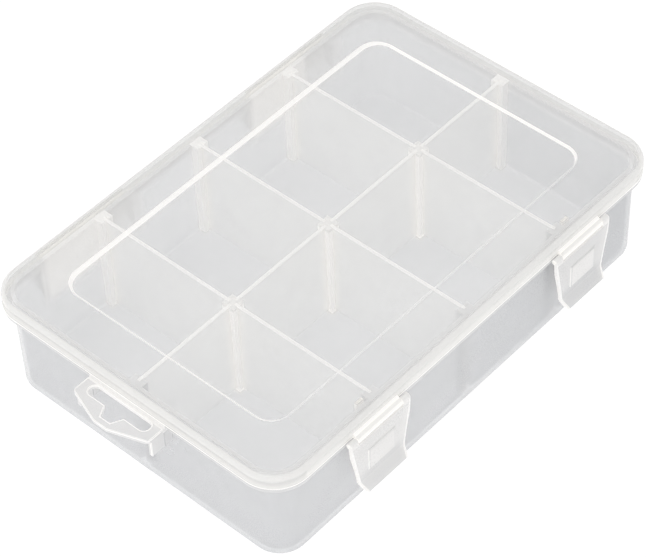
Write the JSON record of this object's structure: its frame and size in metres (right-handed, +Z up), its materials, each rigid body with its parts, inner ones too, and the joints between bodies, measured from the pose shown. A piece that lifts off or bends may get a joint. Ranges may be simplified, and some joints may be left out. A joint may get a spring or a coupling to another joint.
{
  "type": "parts sorting tray",
  "caption": "Flat rectangular storage box in frosted clear plastic, with a hinged lid, two snap latches, removable dividers and a hang tab.",
  "frame": {"origin": "centre of the tray's flat underside, on the plane it rests on", "axes": "+X along the length away from the hang tab, +Y towards the hinges, +Z up"},
  "size_m": [0.2178, 0.1489, 0.047],
  "materials": {
    "tray_plastic": "frosted clear moulded plastic",
    "lid_plastic": "frosted clear moulded plastic",
    "latch_plastic": "frosted clear moulded plastic",
    "divider_plastic": "frosted clear moulded plastic"
  },
  "bodies": {
    "tray_body": {"tray": "tray_plastic", "cross_divider_left_front": "divider_plastic", "cross_divider_left_rear": "divider_plastic", "cross_divider_middle_front": "divider_plastic", "cross_divider_middle_rear": "divider_plastic", "cross_divider_right_front": "divider_plastic", "cross_divider_right_rear": "divider_plastic", "long_divider_left_end": "divider_plastic", "long_divider_left_middle": "divider_plastic", "long_divider_right_middle": "divider_plastic", "long_divider_right_end": "divider_plastic"},
    "lid_body": {"lid": "lid_plastic"},
    "latch_left_body": {"latch_left": "latch_plastic"},
    "latch_right_body": {"latch_right": "latch_plastic"}
  },
  "joints": [
    {"name": "lid_hinge", "type": "hinge", "parent": "tray_body", "child": "lid_body", "pos_m": [0, 0.0713, 0.032], "axis": [-1, 0, 0], "range_deg": [0, 180]},
    {"name": "latch_left_hinge", "type": "hinge", "parent": "lid_body", "child": "latch_left_body", "pos_m": [-0.0545, -0.071, 0.0404], "axis": [-1, 0, 0], "range_deg": [0, 120]},
    {"name": "latch_right_hinge", "type": "hinge", "parent": "lid_body", "child": "latch_right_body", "pos_m": [0.0545, -0.071, 0.0404], "axis": [-1, 0, 0], "range_deg": [0, 120]}
  ]
}
